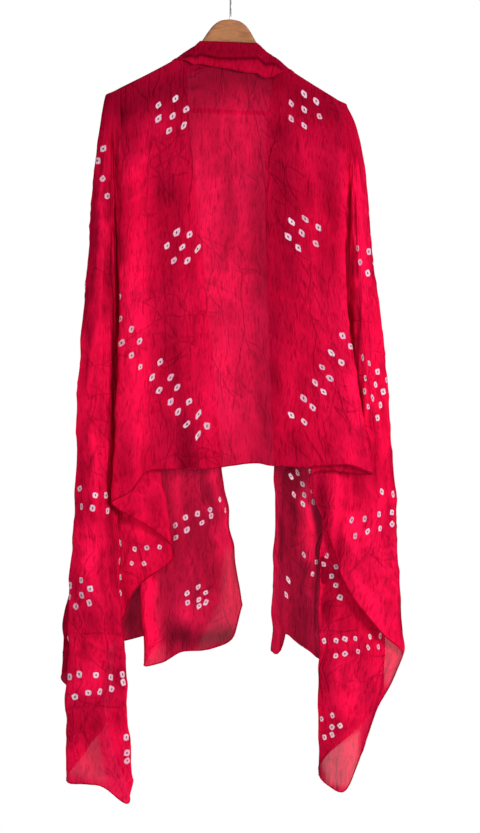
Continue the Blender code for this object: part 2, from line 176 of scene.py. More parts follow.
# %% Curves through points
def smooth_curve(keys, fractions):
    """Smooth curve through keys along axis 0, read at fractions of every gap. Returns (gaps, reads, ...)."""
    keys = np.asarray(keys, float)
    gaps = np.sqrt(np.linalg.norm(np.diff(keys, axis=0), axis=-1, keepdims=True)) + 1e-6
    slopes = np.diff(keys, axis=0) / gaps
    inner = (slopes[1:] * gaps[:-1] + slopes[:-1] * gaps[1:]) / (gaps[:-1] + gaps[1:])
    tangents = np.concatenate([slopes[:1], inner, slopes[-1:]])
    reads = []
    for f in fractions:
        reads.append(
            (2 * f**3 - 3 * f**2 + 1) * keys[:-1]
            + (f**3 - 2 * f**2 + f) * gaps * tangents[:-1]
            + (3 * f**2 - 2 * f**3) * keys[1:]
            + (f**3 - f**2) * gaps * tangents[1:]
        )
    return np.stack(reads, axis=1)


def smooth_path(keys, steps):
    """Points of the curve through keys, steps to a gap, with the last key."""
    reads = smooth_curve(keys, [i / steps for i in range(steps)])
    return np.concatenate([reads.reshape(-1, reads.shape[-1]), np.asarray(keys[-1:], float)])


def smooth_step(value):
    value = np.clip(value, 0.0, 1.0)
    return value * value * (3 - 2 * value)


# %% The line that the cloth hangs from
WOOD_STEPS = 3


def wood_top_line():
    """The wood's top edge as it hangs, from the left arm's end to the right one's: (x, drop)."""
    turn = radians(HANG_TILT)
    half = smooth_path(WOOD_TOP + (WOOD_END,), WOOD_STEPS)
    level = [(-out, down) for out, down in half[::-1]] + [(out, down) for out, down in half[1:]]
    return np.array([
        (out * cos(turn) - down * sin(turn), HEAD_DROP + out * sin(turn) + down * cos(turn))
        for out, down in level
    ])


TOP_LINE = wood_top_line()


def top_point(x):
    """The cloth's top line at x: over the arms, and in front of the head between them."""
    before, arm, after = np.interp([x - SLOPE_REACH, x, x + SLOPE_REACH], TOP_LINE[:, 0], TOP_LINE[:, 1])
    slope = (after - before) / (2 * SLOPE_REACH)
    arm -= (SEAT_GAP + CLOTH_THICK / 2) * np.hypot(1, slope)
    (x0, drop0), (x1, drop1) = COLLAR_LINE
    collar = drop0 + (x - x0) / (x1 - x0) * (drop1 - drop0)
    return np.array([x, COLLAR_Y * smooth_step((NECK - abs(x)) / (NECK - NECK_IN)), max(arm, collar)])


def near_depth(x, down):
    """The near panel's depth (y) just below the top line, down from it."""
    reach = 1 - smooth_step((NECK - abs(x)) / (NECK - NECK_IN))
    arch = np.interp(down, [0] + [row[1] for row in ARCH], [0] + [row[0] for row in ARCH])
    return -reach * arch + (1 - reach) * (COLLAR_Y + COLLAR_ROLL * smooth_step(down / ARCH[-1][1]))


# %% One column, cut into rows
ROWS_OVER_ARM = (1.4, 2.8, 4.2, 5.6, 7.0, 8.5, 10.5, 12.5, 15.0)
ROWS_BELOW = 200
ROW_CROWDING = 1.12
ROWS = len(ROWS_OVER_ARM) + ROWS_BELOW
PATH_STEPS = 24


def column_curve(column):
    """One column as points (x, y, drop), row by row, and each point's distance down the cloth."""
    name, x, swing, xs, ys, hem = column
    top = top_point(x)
    side = 1 if ys[0] > 0 else -1
    turn = radians(abs(swing))
    across = np.array([np.sign(x) * sin(turn), side * cos(turn) if abs(swing) < 90 else 0.0, 0.0])
    reach = 1 - smooth_step((NECK - abs(x)) / (NECK - NECK_IN))
    keys = [top]
    for out, down in ARCH:
        point = top + reach * out * across + [0, 0, down]
        if reach < 1:
            point[1] = near_depth(x, down)
        keys.append(point)
    keys += [np.array([a, b, drop]) for a, b, drop in zip(xs, ys, LEVELS)]
    keys.append(np.array(hem, float))
    path = smooth_path(keys, PATH_STEPS)
    lengths = np.concatenate([[0], np.cumsum(np.linalg.norm(np.diff(path, axis=0), axis=1))])
    rest = np.arange(1, ROWS_BELOW + 1) / ROWS_BELOW
    first = ROWS_OVER_ARM[-1]
    wanted = [0, *ROWS_OVER_ARM, *(first + rest**ROW_CROWDING * (lengths[-1] - first))]
    return np.stack([np.interp(wanted, lengths, path[:, k]) for k in range(3)], axis=1)


# %% All columns, and the strips between them
STRIP_WIDTH = 6.8
column_keys = np.stack([column_curve(column) for column in COLUMNS])
gap_widths = np.linalg.norm(np.diff(column_keys, axis=0), axis=2)
GAP_STEPS = [max(3, int(round(np.percentile(widths, 85) / STRIP_WIDTH))) for widths in gap_widths]


def cloth_grid():
    """The whole sheet as columns of points (x, y, drop), and each column's x on the top line."""
    starts = [column[1] for column in COLUMNS]
    grid, tops = [], []
    for gap, steps in enumerate(GAP_STEPS):
        near = slice(max(gap - 1, 0), gap + 3)
        reads = smooth_curve(column_keys[near], [i / steps for i in range(steps)])[gap - near.start]
        for i in range(steps):
            x = starts[gap] + (starts[gap + 1] - starts[gap]) * i / steps
            reads[i][0] = top_point(x)
            grid.append(reads[i])
            tops.append(x)
    grid.append(column_keys[-1])
    tops.append(starts[-1])
    return np.array(grid), np.array(tops)


grid, tops = cloth_grid()
COLUMN_AT = np.concatenate([[0], np.cumsum(GAP_STEPS)])
print("sheet of", grid.shape[0], "columns by", grid.shape[1], "points")

# %% [markdown]
# ## Where a point lies on the flat cloth
# The dye, the dots and the crepe belong to the cloth and not to the room, so each point gets its place on
# it: how far along it lies, and how far down. A column keeps one place along, so the crepe runs down the
# folds.

# %% Distances along and down the cloth
def running_length(points, axis):
    steps = np.linalg.norm(np.diff(points, axis=axis), axis=2)
    start = np.zeros_like(np.take(steps, [0], axis=axis))
    return np.concatenate([start, np.cumsum(steps, axis=axis)], axis=axis)


BELOW_TOP = 40
FAR_AWAY = 999
MIDDLE_COLUMN = int(np.argmin(np.abs(np.where(grid[:, BELOW_TOP, 1] < 0, tops, FAR_AWAY))))
along_rows = running_length(grid, 0)
along_rows -= along_rows[MIDDLE_COLUMN]
down_cloth = running_length(grid, 1)
along_cloth = along_rows.mean(axis=1)
cell_areas = np.linalg.norm(
    np.cross(grid[1:, :-1] - grid[:-1, :-1], grid[:-1, 1:] - grid[:-1, :-1]), axis=2
)
along_all = along_cloth[:, None] + 0 * down_cloth
print("rows up to", round(along_cloth[-1] - along_cloth[0]), "mm, columns", round(down_cloth[:, -1].mean()))
print("area", round(cell_areas.sum() / 1e6, 3), "square metres")

# %% [markdown]
# ## Soft noise
# Cotton that was tied in hundreds of knots dries crinkled. Broad waves and narrow crinkles come from layers
# of smooth noise, stretched along the columns. The noise is seeded, so the same cloth comes out on each
# run.

# %% A smooth noise over the cloth
NOISE_CELLS = 128
WAVE_HEIGHT = 2.0
CREPE_HEIGHT = 1.5
WRINKLE_HEIGHT = 0.9
CROSS_HEIGHT = 0.45
DRIFT = 9


def cloth_noise(along, down, size_along, size_down, seed):
    """Smooth noise from -1 to 1, with hills of the two sizes in mm."""
    rng = np.random.default_rng(seed)
    table = rng.uniform(-1, 1, (NOISE_CELLS, NOISE_CELLS))
    u, v = along / size_along + 51.3, down / size_down + 17.7
    i, j = np.floor(u).astype(int), np.floor(v).astype(int)
    f, g = smooth_step(u - i), smooth_step(v - j)
    corner = [table[(i + a) % NOISE_CELLS, (j + b) % NOISE_CELLS] for a in (0, 1) for b in (0, 1)]
    return (corner[0] * (1 - f) + corner[2] * f) * (1 - g) + (corner[1] * (1 - f) + corner[3] * f) * g


def crinkles(along, down):
    """Height of the crepe, in mm: wide waves, crinkles and wrinkles that run down the cloth."""
    drift = DRIFT * cloth_noise(along, down, 60, 90, 11)
    waves = WAVE_HEIGHT * cloth_noise(along + drift, down, 42, 230, 1)
    crepe = CREPE_HEIGHT * (1 - 2 * np.abs(cloth_noise(along + drift, down, 21, 90, 2)))
    wrinkle = WRINKLE_HEIGHT * (1 - 2 * np.abs(cloth_noise(along + 0.5 * drift, down, 13, 42, 3)))
    cross = CROSS_HEIGHT * (1 - 2 * np.abs(cloth_noise(along, down + drift, 44, 19, 4)))
    return waves + crepe + wrinkle + cross


# %% [markdown]
# ## Creases set by hand
# Noise alone looks even, and the real cloth has a few longer creases: where it was folded for storage,
# where the panel hangs off the shoulder and where it lies over the trouser bar. Each row is a line on one
# part, with its height. A positive height is a soft ridge and a negative one a trough.

# %% Creases: part of the cloth, start (x, drop), end (x, drop), height and half width
PANEL = ("panel fold", 0, "panel fold", 1)
RIGHT_NEAR = ("valley", 1, "right side", 0)
CREASES = (
    (PANEL, (-190, 335), (-120, 272), 1.6, 6),
    (PANEL, (-196, 388), (-150, 355), 1.5, 6),
    (PANEL, (-180, 300), (-100, 282), 1.0, 6),
    (PANEL, (-185, 530), (-140, 488), 1.5, 6),
    (PANEL, (-130, 495), (-92, 640), 1.4, 7),
    (PANEL, (-176, 640), (-186, 760), 1.4, 8),
    (PANEL, (-178, 700), (-150, 800), 1.3, 8),
    (PANEL, (-120, 790), (-88, 770), 1.2, 6),
    (PANEL, (-78, 455), (-66, 842), 1.2, 7),
    (PANEL, (-50, 510), (20, 496), 1.0, 5),
    (PANEL, (-50, 480), (35, 488), 1.1, 5),
    (PANEL, (12, 300), (24, 450), 1.4, 6),
    (PANEL, (-6, 296), (10, 420), -1.2, 6),
    (PANEL, (-70, 330), (15, 268), 0.9, 5),
    (PANEL, (-52, 345), (-5, 330), 0.9, 5),
    (PANEL, (30, 240), (38, 560), 1.0, 6),
    (PANEL, (30, 560), (44, 780), 1.1, 6),
    (PANEL, (-58, 222), (90, 226), 1.3, 6),
    (PANEL, (62, 250), (58, 420), -2.0, 16),
    (PANEL, (64, 420), (52, 800), -1.3, 14),
    (PANEL, (84, 240), (96, 430), 1.2, 10),
    (PANEL, (196, 300), (200, 620), 1.5, 7),
    (PANEL, (150, 700), (214, 800), 1.2, 7),
    (PANEL, (40, 765), (90, 778), 1.1, 6),
    (PANEL, (-60, 800), (20, 818), 1.0, 6),
    (RIGHT_NEAR, (184, 905), (262, 985), 2.2, 6),
    (RIGHT_NEAR, (196, 955), (300, 1096), 2.5, 6),
    (RIGHT_NEAR, (262, 992), (303, 1078), 1.8, 5),
    (RIGHT_NEAR, (206, 1018), (270, 1098), 1.8, 5),
    (RIGHT_NEAR, (226, 862), (272, 902), 1.4, 5),
)


def column_range(part):
    """First and last column of a part of the cloth, from the names of its outer columns and which of them."""
    first_name, first_which, last_name, last_which = part
    names = [column[0] for column in COLUMNS]
    first = [i for i, name in enumerate(names) if name == first_name][first_which]
    last = [i for i, name in enumerate(names) if name == last_name][last_which]
    return COLUMN_AT[first], COLUMN_AT[last]


def crease_heights():
    heights = np.zeros(grid.shape[:2])
    for part, start, end, height, half_width in CREASES:
        a, b = column_range(part)
        flat = grid[a : b + 1][:, :, [0, 2]]
        start, end = np.array(start, float), np.array(end, float)
        run = end - start
        place = np.clip(((flat - start) @ run) / (run @ run), 0, 1)
        bow = half_width * np.sin(place * pi)
        away = (flat - start) @ np.array([-run[1], run[0]]) / np.linalg.norm(run) - bow
        beyond = np.linalg.norm(flat - start - place[..., None] * run, axis=2)
        away = np.where((place > 0) & (place < 1), np.abs(away), beyond)
        fade = np.sin(np.clip(place, 0.02, 0.98) * pi) ** 0.5
        heights[a : b + 1] += height * fade * np.exp(-((away / half_width) ** 2))
    return heights


# %% Raise the crinkles and creases off the smooth sheet
CALM_TOP = 45.0
FULL_BELOW = 150.0
# The pleated parts are rougher than the panel, from so many columns outside it.
GATHERED_MORE = 0.6
GATHERED_WITHIN = 8
# How far the free sides wave, and how far the hem waves up and down, and in and out.
SIDE_WOBBLE = 2.6
HEM_WOBBLE = 3.6
HEM_CURL = 3.0


def sheet_normals(points):
    across = np.gradient(points, axis=0)
    down = np.gradient(points, axis=1)
    normal = np.cross(across, down)
    return normal / (np.linalg.norm(normal, axis=2, keepdims=True) + 1e-9)


first_panel, last_panel = column_range(PANEL)
place_in_row = np.arange(len(tops))
outside = np.maximum(first_panel - place_in_row, place_in_row - last_panel)
gathered = 1 + GATHERED_MORE * smooth_step(outside / GATHERED_WITHIN)[:, None]
lively = smooth_step((down_cloth - CALM_TOP) / (FULL_BELOW - CALM_TOP))
rise = crinkles(along_all, down_cloth) * lively * gathered
rise += crease_heights() * smooth_step((down_cloth - 20) / 60)
sheet = grid + sheet_normals(grid) * rise[:, :, None]
from_hem = down_cloth[:, -1:] - down_cloth
loose = smooth_step((down_cloth - 300) / 500)
sheet[:, :, 0] += loose * SIDE_WOBBLE * cloth_noise(down_cloth, along_all, 34, 260, 21)
sheet[:, :, 2] += HEM_WOBBLE * smooth_step(1 - from_hem / 70) * cloth_noise(along_all, down_cloth, 33, 900, 22)
sheet[:, :, 1] += HEM_CURL * smooth_step(1 - from_hem / 45) * cloth_noise(along_all, down_cloth, 30, 900, 23)
print("crinkles rise from", round(rise.min(), 2), "to", round(rise.max(), 2), "mm")

# %% [markdown]
# ## The collar
# The cloth's long edge is turned outward across the neck and lies over itself in two bands, like a shawl
# collar. It is worked out from the panel behind it: the same columns, a little in front, with a step
# between.

# %% The turned-out flap
LEFT_FLAP = ((-106, 0), (-97, 6), (-86, 16), (-79, 21), (-66, 32), (-53, 41), (-27, 45))
RIGHT_FLAP = ((27, 53), (53, 54), (66, 47), (79, 38), (92, 20), (104, 7), (114, 0))
FLAP = (*LEFT_FLAP, (0, 48), *RIGHT_FLAP)
FLAP_AHEAD = 5.5
FLAP_ROOT = 7.0
FLAP_SHORT = 30.0
FLAP_ROWS = 22
# The step between the collar's two bands: how far down the flap it lies, at x, and how deep it is.
BAND_STEP = ((-66, 20), (-45, 26), (-20, 30), (0, 30), (40, 28), (66, 24))
BAND_DEPTH = 4.0
# Painted shade darkens the whole flap, a painted highlight lightens its lower band, and a painted shadow lies
# in the step between the bands.
FLAP_PAINTED_SHADE = 0.52
BAND_PAINTED_LIGHT = 0.28
STEP_PAINTED_SHADOW = 0.30
# The flap takes its crepe from another place on the cloth, and is calmer than the panel.
FLAP_APART = 400
FLAP_CALMER = 0.6


def flap_point(column, x, length, full):
    """A point of the turned-out flap: length down the panel's column, and out in front of it."""
    if length == 0:
        return column[0]
    spans = np.concatenate([[0], np.cumsum(np.linalg.norm(np.diff(column, axis=0), axis=1))])
    before, place, after = (
        np.array([np.interp(at, spans, column[:, k]) for k in range(3)])
        for at in (length - 1, length, length + 1)
    )
    along = (after - before) / np.linalg.norm(after - before)
    ahead = FLAP_AHEAD * (1 - exp(-length / FLAP_ROOT)) * smooth_step(full / FLAP_SHORT)
    step = np.interp(x, [row[0] for row in BAND_STEP], [row[1] for row in BAND_STEP])
    fade = smooth_step((NECK_IN + 12 - abs(x)) / 20)
    lip = exp(-(((length - step + 5) / 7) ** 2))
    dip = exp(-(((length - step - 2.5) / 3) ** 2))
    over = BAND_DEPTH * fade * (lip - 0.6 * dip)
    return place + (ahead + over) * np.array([0, -along[2], along[1]])


first_near, last_near = column_range(("column ridge", 0, "column flank", 0))
on_near_side = (np.arange(len(tops)) > first_near) & (np.arange(len(tops)) < last_near)
under_flap = np.flatnonzero(on_near_side & (tops >= FLAP[0][0]) & (tops <= FLAP[-1][0]))
flap = []
for index in under_flap:
    full = np.interp(tops[index], [row[0] for row in FLAP], [row[1] for row in FLAP])
    lengths = [full * (row / FLAP_ROWS) for row in range(FLAP_ROWS + 1)]
    flap.append([flap_point(grid[index], tops[index], length, full) for length in lengths])
flap = np.array(flap)
flap_down = running_length(flap, 1)
flap_along = along_cloth[under_flap]
flap_place = flap_along[:, None] + FLAP_APART + 0 * flap_down
flap_rise = crinkles(flap_place, flap_down) * FLAP_CALMER
flap_rise *= smooth_step((flap_down - 4) / 12)
flap_sheet = flap + sheet_normals(flap) * flap_rise[:, :, None]
step_at = np.interp(tops[under_flap], [row[0] for row in BAND_STEP], [row[1] for row in BAND_STEP])[:, None]
# The flap's painted shade, the lower band's painted highlight and the painted shadow under the step.
flap_painted_shade_and_light = FLAP_PAINTED_SHADE + BAND_PAINTED_LIGHT * smooth_step((flap_down - step_at) / 14)
flap_painted_shade_and_light -= STEP_PAINTED_SHADOW * np.exp(-(((flap_down - step_at - 2) / 3.0) ** 2))
print("collar flap of", flap.shape[:2], "points, up to", round(float(flap_down.max())), "mm long")

# %% [markdown]
# ## The dots
# In bandhani, pinches of cloth are bound with thread before dyeing. Each leaves a pale rounded square with
# a dark eye where the binder's nail held it. The dots stand in old, shared motifs: flowers of seven, and
# double rows. They are charted in regular steps: a flower has a centre and six petals, a row runs between
# two points.

# %% Motifs: part of the cloth, kind, then where it lies in mm
LEFT_COLUMN = ("left side", 0, "column edge", 0)
LEFT_BULGE = ("back bulge", 0, "back side", 0)
LEFT_EDGE = ("column lining", 0, "valley", 0)
LEFT_REVERSE = ("valley", 0, "pleat apex", 0)
LEFT_INNER = ("inner edge", 0, "outer ridge", 0)
RIGHT_UPPER = ("column ridge", 1, "right side", 0)
RIGHT_LOWER = ("lower side", 0, "lower fold", 0)
RIGHT_INNER = ("outer fold", 0, "inner edge", 1)
LEFT_FAR = ("deep fold", 0, "back bulge", 0)
RIGHT_FAR = ("backing fold", 0, "outer fold", 0)
SMALL_ON = (LEFT_INNER, RIGHT_INNER, RIGHT_LOWER, LEFT_REVERSE)
FLOWERS = (
    (PANEL, -102, 230, 27, 41),
    (PANEL, 128, 221, 27, 24),
    (PANEL, -85, 461, 26, 5),
    (PANEL, 126, 436, 26, 42),
    (LEFT_COLUMN, -262, 1064, 24, -80),
    (LEFT_INNER, -57, 1074, 18, 90),
    (RIGHT_UPPER, 226, 486, 25, -55),
    (RIGHT_LOWER, 173, 1299, 18, 50),
    (LEFT_INNER, -122, 246, 24, 10),
    (LEFT_INNER, -98, 560, 24, 40),
    (RIGHT_INNER, 116, 250, 24, 20),
    (RIGHT_INNER, 108, 566, 24, -10),
    (LEFT_FAR, -204, 640, 22, 15),
    (LEFT_FAR, -232, 980, 22, 45),
    (RIGHT_FAR, 210, 652, 22, 25),
    (RIGHT_FAR, 222, 990, 22, 0),
)
# Rows: part, start (x, drop), end (x, drop), number of dots. A single dot is a row of one.
ROWS_OF_DOTS = (
    (PANEL, (-190, 586), (-155, 622), 3),
    (PANEL, (-123, 662), (-40, 772), 6),
    (PANEL, (-188, 629), (-57, 786), 9),
    (PANEL, (193, 617), (111, 751), 6),
    (PANEL, (207, 635), (128, 764), 6),
    (PANEL, (-191, 546), (-191, 546), 1),
    (LEFT_COLUMN, (-221, 291), (-221, 341), 2),
    (LEFT_COLUMN, (-232, 308), (-210, 372), 2),
    (LEFT_COLUMN, (-252, 527), (-252, 527), 1),
    (LEFT_COLUMN, (-260, 884), (-216, 892), 3),
    (LEFT_COLUMN, (-261, 912), (-215, 920), 3),
    (LEFT_EDGE, (-195, 978), (-191, 1066), 4),
    (LEFT_COLUMN, (-283, 1206), (-186, 1202), 5),
    (LEFT_COLUMN, (-270, 1241), (-184, 1221), 5),
    (LEFT_COLUMN, (-176, 1315), (-176, 1358), 3),
    (LEFT_BULGE, (-287, 1144), (-287, 1144), 1),
    (LEFT_REVERSE, (-171, 987), (-123, 984), 3),
    (LEFT_REVERSE, (-174, 1011), (-152, 1012), 2),
    (LEFT_INNER, (-102, 945), (-19, 903), 5),
    (LEFT_INNER, (-97, 966), (-14, 921), 5),
    (RIGHT_NEAR, (211, 936), (280, 920), 4),
    (RIGHT_NEAR, (218, 958), (282, 943), 4),
    (RIGHT_UPPER, (226, 651), (270, 691), 4),
    (RIGHT_UPPER, (218, 673), (266, 711), 4),
    (RIGHT_UPPER, (229, 713), (261, 735), 3),
    (RIGHT_UPPER, (239, 740), (256, 756), 2),
    (RIGHT_UPPER, (261, 885), (282, 892), 2),
    (RIGHT_LOWER, (161, 1147), (262, 1137), 6),
    (RIGHT_LOWER, (182, 1177), (258, 1158), 5),
    (RIGHT_LOWER, (173, 997), (173, 997), 1),
    (RIGHT_LOWER, (167, 1015), (182, 1017), 2),
    (RIGHT_LOWER, (174, 1035), (193, 1069), 3),
    (RIGHT_INNER, (122, 855), (131, 911), 4),
    (RIGHT_INNER, (140, 847), (148, 902), 4),
    (RIGHT_INNER, (107, 861), (114, 894), 2),
    (RIGHT_INNER, (130, 998), (142, 1030), 2),
    (RIGHT_INNER, (149, 1009), (149, 1009), 1),
    (RIGHT_INNER, (104, 1044), (101, 1067), 2),
    (LEFT_INNER, (-164, 350), (-80, 420), 6),
    (LEFT_INNER, (-164, 374), (-80, 444), 6),
    (LEFT_INNER, (-150, 746), (-48, 670), 7),
    (LEFT_INNER, (-150, 770), (-44, 694), 7),
    (RIGHT_INNER, (92, 430), (160, 360), 6),
    (RIGHT_INNER, (92, 454), (160, 384), 6),
    (RIGHT_INNER, (90, 690), (150, 744), 5),
    (RIGHT_INNER, (90, 714), (148, 768), 5),
    (LEFT_FAR, (-216, 470), (-186, 500), 3),
    (LEFT_FAR, (-230, 800), (-180, 830), 4),
    (LEFT_FAR, (-232, 824), (-182, 854), 4),
    (RIGHT_FAR, (190, 500), (220, 470), 3),
    (RIGHT_FAR, (182, 836), (236, 806), 4),
    (RIGHT_FAR, (180, 860), (238, 830), 4),
)


def motif_dots():
    """Every dot as (part, x, drop)."""
    dots = []
    for part, x, drop, petal, turn in FLOWERS:
        dots.append((part, x, drop))
        for step in range(6):
            angle = radians(turn + 60 * step)
            dots.append((part, x + petal * cos(angle), drop + petal * sin(angle)))
    for part, (x0, drop0), (x1, drop1), count in ROWS_OF_DOTS:
        for step in range(count):
            share = step / max(count - 1, 1)
            dots.append((part, x0 + (x1 - x0) * share, drop0 + (drop1 - drop0) * share))
    return dots


# %% Find each dot's place on the sheet
UNSEEN = 1.0
SMALLER = 1.18
DOT_REACH = 11.0
DOT_CELLS = 8
DOT_MISS = 10.0
DOT_STRAY = 1.2
DOT_TURN = 0.3
DOT_UNEVEN = 0.07


def dot_offsets():
    """For every cell's four corners, how far they lie from the nearest dot, in units of 100 mm."""
    rng = np.random.default_rng(7)
    columns, rows = grid.shape[0] - 1, grid.shape[1] - 1
    offsets = np.full((columns, rows, 4, 2), UNSEEN)
    nearest = np.full((columns, rows), DOT_REACH)
    for part, x, drop in motif_dots():
        x, drop = x + rng.normal(0, DOT_STRAY), drop + rng.normal(0, DOT_STRAY)
        turn, stretch = rng.normal(0, DOT_TURN), rng.normal(1.0, DOT_UNEVEN, 2)
        stretch *= SMALLER if part in SMALL_ON else 1.0
        a, b = column_range(part)
        away = (grid[a : b + 1, :, 0] - x) ** 2 + (grid[a : b + 1, :, 2] - drop) ** 2
        i0, j0 = np.unravel_index(np.argmin(away), away.shape)
        if away[i0, j0] > DOT_MISS**2:
            print("no cloth for a dot at", round(x), round(drop), part[0])
            continue
        i0 += a
        i_range = np.arange(max(i0 - DOT_CELLS, 0), min(i0 + DOT_CELLS + 1, columns + 1))
        j_range = np.arange(max(j0 - DOT_CELLS, 0), min(j0 + DOT_CELLS + 1, rows + 1))
        along = along_rows[np.ix_(i_range, j_range)] - along_rows[i0, j_range][None, :]
        down = down_cloth[np.ix_(i_range, j_range)] - down_cloth[i0, j0]
        turned_along = (along * cos(turn) + down * sin(turn)) * stretch[0]
        turned_down = (down * cos(turn) - along * sin(turn)) * stretch[1]
        turned = np.stack([turned_along, turned_down], 2)
        for i in range(len(i_range) - 1):
            for j in range(len(j_range) - 1):
                corners = np.array([turned[i, j], turned[i + 1, j], turned[i + 1, j + 1], turned[i, j + 1]])
                centre = np.linalg.norm(corners.mean(axis=0))
                if centre < nearest[i_range[i], j_range[j]]:
                    nearest[i_range[i], j_range[j]] = centre
                    offsets[i_range[i], j_range[j]] = corners / 100
    return offsets


dots = dot_offsets()
print(len(motif_dots()), "dots charted")

# %% [markdown]
# ## Painted shade and light, and sheer places
# The red is painted deeper or lighter where light reaches it less or more. Where the cloth lies on wood, or
# where three layers meet, no light comes through, and painted shade makes it deeper. Where a fold's edge
# catches the light, a painted highlight makes it brighter. Each row is a stroke along a line on one part of
# the cloth. Near the short ends the cotton is open enough to see through, and those places are outlined.

# %% Strokes of painted shade and highlight: part, points (x, drop), half width, and how much lighter (+) or deeper (-)
NEAR_VALLEY = ("valley", 1, "column flank", 0)
LEFT_DEEP = ("outer ridge", 0, "back bulge", 0)
NEAR_PLEAT = ("pleat apex", 1, "column ridge", 1)
LEFT_SHOULDER = ("left side", 0, "panel fold", 0)
RIGHT_SHOULDER = ("panel fold", 1, "right side", 0)
RIGHT_CORNER = ("right side", 0, "lower fold", 0)
SHADE_AND_HIGHLIGHT_STROKES = (
    (PANEL, ((-215, 213), (-150, 198), (-80, 174), (0, 150), (62, 160)), 44, -0.52),
    (PANEL, ((132, 198), (150, 205), (194, 222)), 42, -0.42),
    (LEFT_SHOULDER, ((-228, 190), (-200, 208)), 30, -0.38),
    (RIGHT_SHOULDER, ((206, 205), (232, 215)), 26, -0.20),
    (PANEL, ((87, 260), (88, 400), (75, 560), (62, 740), (64, 850)), 27, -0.40),
    (PANEL, ((-102, 370), (-102, 540), (-86, 700), (-72, 840)), 24, -0.30),
    (PANEL, ((-120, 280), (-118, 360)), 26, -0.24),
    (PANEL, ((178, 290), (168, 350)), 28, -0.24),
    (PANEL, ((-76, 780), (-68, 845)), 26, -0.30),
    (PANEL, ((-168, 330), (-164, 520), (-155, 700), (-145, 850)), 24, 0.34),
    (PANEL, ((-190, 230), (-189, 480)), 13, -0.38),
    (PANEL, ((197, 300), (199, 640), (214, 820)), 13, 0.26),
    (PANEL, ((-32, 350), (-22, 560), (-12, 780)), 32, 0.18),
    (PANEL, ((110, 800), (135, 850)), 22, -0.22),
    (PANEL, ((-5, 440), (5, 520)), 26, 0.16),
    (PANEL, ((158, 660), (156, 720)), 20, -0.16),
    (PANEL, ((190, 800), (200, 850)), 22, 0.16),
    (NEAR_VALLEY, ((212, 330), (213, 600), (212, 800)), 18, 0.60),
    (NEAR_PLEAT, ((160, 860), (162, 960)), 16, -0.42),
    (NEAR_PLEAT, ((200, 870), (206, 950)), 20, 0.85),
    (LEFT_COLUMN, ((-262, 640), (-264, 960), (-262, 1360)), 28, 0.42),
    (LEFT_COLUMN, ((-262, 960), (-262, 1010)), 22, 0.85),
    (LEFT_COLUMN, ((-230, 1150), (-232, 1220)), 18, 0.78),
    (LEFT_COLUMN, ((-190, 1180), (-190, 1290)), 18, -0.20),
    (LEFT_BULGE, ((-290, 1050), (-296, 1215)), 18, -0.50),
    (LEFT_REVERSE, ((-180, 915), (-155, 955)), 18, 0.85),
    (LEFT_REVERSE, ((-116, 870), (-112, 900)), 16, 0.32),
    (LEFT_INNER, ((-74, 860), (-62, 1010), (-48, 1090)), 24, -0.22),
    (LEFT_INNER, ((-96, 960), (-86, 1050)), 20, -0.30),
    (LEFT_INNER, ((-90, 1140), (-50, 1150), (-4, 1145)), 26, -0.74),
    (LEFT_INNER, ((-140, 1050), (-128, 1175)), 16, 0.66),
    (LEFT_INNER, ((-30, 880), (-26, 930)), 16, -0.30),
    (LEFT_DEEP, ((-180, 1110), (-180, 1130)), 10, -0.34),
    (LEFT_DEEP, ((-168, 950), (-165, 1160)), 18, -0.18),
    (RIGHT_INNER, ((86, 860), (84, 1160)), 20, -0.32),
    (RIGHT_INNER, ((108, 850), (116, 1160)), 18, -0.58),
    (RIGHT_INNER, ((132, 890), (137, 1000)), 11, 0.70),
    (RIGHT_INNER, ((140, 1060), (140, 1160)), 16, -0.30),
    (RIGHT_INNER, ((160, 860), (160, 1150)), 16, -0.34),
    (PANEL, ((216, 690), (222, 760)), 14, 0.60),
    (RIGHT_UPPER, ((272, 740), (272, 790)), 18, 0.22),
    (RIGHT_UPPER, ((215, 900), (215, 1020), (270, 1120)), 14, 0.16),
    (RIGHT_UPPER, ((236, 560), (250, 700), (258, 1000)), 24, 0.26),
    (RIGHT_LOWER, ((160, 900), (160, 1040)), 16, -0.62),
    (RIGHT_LOWER, ((172, 1090), (175, 1350)), 12, -0.20),
    (RIGHT_LOWER, ((212, 1240), (208, 1340)), 14, 0.22),
    (RIGHT_LOWER, ((226, 1165), (228, 1195)), 16, -0.22),
    (RIGHT_LOWER, ((174, 1062), (176, 1095)), 14, -0.34),
    (RIGHT_CORNER, ((290, 1140), (292, 1200)), 20, 0.50),
    (RIGHT_LOWER, ((240, 1200), (250, 1270)), 14, -0.20),
)


def distance_to_line(flat, start, end):
    start, end = np.array(start, float), np.array(end, float)
    run = end - start
    place = np.clip(((flat - start) @ run) / (run @ run), 0, 1)
    return np.linalg.norm(flat - start - place[..., None] * run, axis=2)


# Painted shade and highlights: each stroke deepens or lightens the red along its line.
def painted_shade_and_light():
    shade_and_light_tones = np.ones(grid.shape[:2])
    for part, line, half_width, amount in SHADE_AND_HIGHLIGHT_STROKES:
        a, b = column_range(part)
        flat = grid[a : b + 1][:, :, [0, 2]]
        away = np.min([distance_to_line(flat, p, q) for p, q in zip(line, line[1:])], axis=0)
        shade_and_light_tones[a : b + 1] += amount * np.exp(-((away / half_width) ** 2))
    return shade_and_light_tones


# %% Sheer places: part, outline (x, drop), and the share of light that passes
SHEER_PLACES = (
    (LEFT_COLUMN, ((-234, 1290), (-283, 1356), (-283, 1380), (-216, 1392)), 0.02),
    (LEFT_INNER, ((-12, 985), (14, 1000), (26, 1090), (4, 1150), (-60, 1172), (-40, 1130), (-16, 1080)), 0.018),
    (LEFT_INNER, ((-150, 1178), (-116, 1160), (-112, 1200), (-150, 1200)), 0.016),
    (RIGHT_CORNER, ((254, 1128), (310, 1128), (310, 1222), (262, 1228)), 0.05),
    (RIGHT_LOWER, ((157, 1345), (193, 1325), (226, 1305), (222, 1400), (170, 1400)), 0.08),
)
SHEER_EVERYWHERE = 0.001
SHEER_SOFT = 12.0


